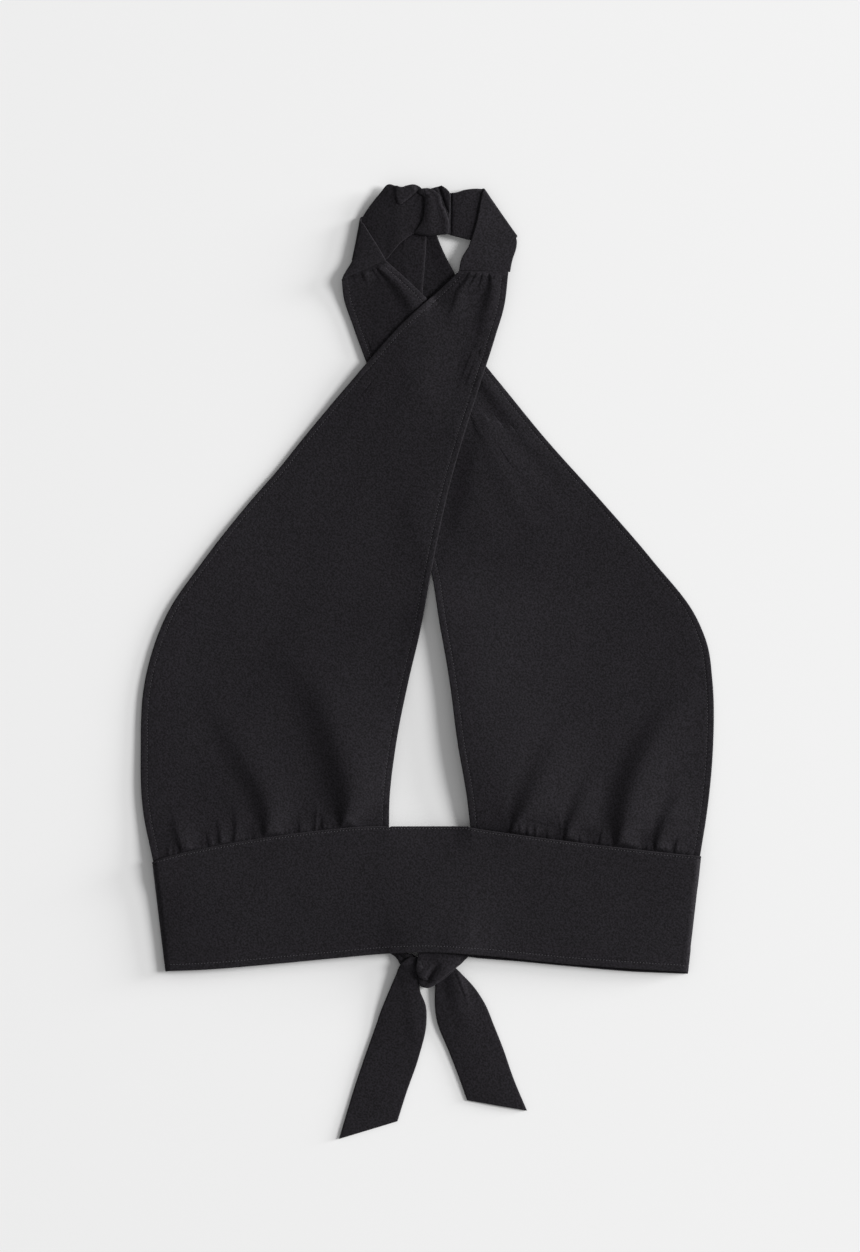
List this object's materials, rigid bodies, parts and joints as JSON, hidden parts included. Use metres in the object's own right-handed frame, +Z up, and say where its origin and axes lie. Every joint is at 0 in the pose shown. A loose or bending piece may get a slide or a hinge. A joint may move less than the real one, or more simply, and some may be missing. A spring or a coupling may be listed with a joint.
{
  "type": "halter neck top",
  "caption": "Cropped halter neck top laid flat: gathered front panels crossing over a keyhole, a deep underbust band, and straps and band ends tied in knots.",
  "frame": {"origin": "under the middle of the garment's outline, on the surface it lies on", "axes": "+Z up from the surface, +Y from the band towards the neck, +X to the right as the laid garment is seen from above"},
  "size_m": [0.3724, 0.6191, 0.0128],
  "materials": {
    "panel_crepe": "matt black crepe",
    "band_crepe": "matt black crepe, doubled",
    "tie_crepe": "matt black crepe, doubled and turned"
  },
  "bodies": {
    "root": {"panel_over": "panel_crepe", "panel_under": "panel_crepe", "front_band": "band_crepe", "back_band_left": "band_crepe", "back_band_right": "band_crepe", "back_knot": "tie_crepe", "back_tail_left": "tie_crepe", "back_tail_right": "tie_crepe", "neck_strap_left": "tie_crepe", "neck_strap_right": "tie_crepe", "neck_knot": "tie_crepe", "neck_tail_left": "tie_crepe", "neck_tail_right": "tie_crepe"}
  },
  "joints": []
}
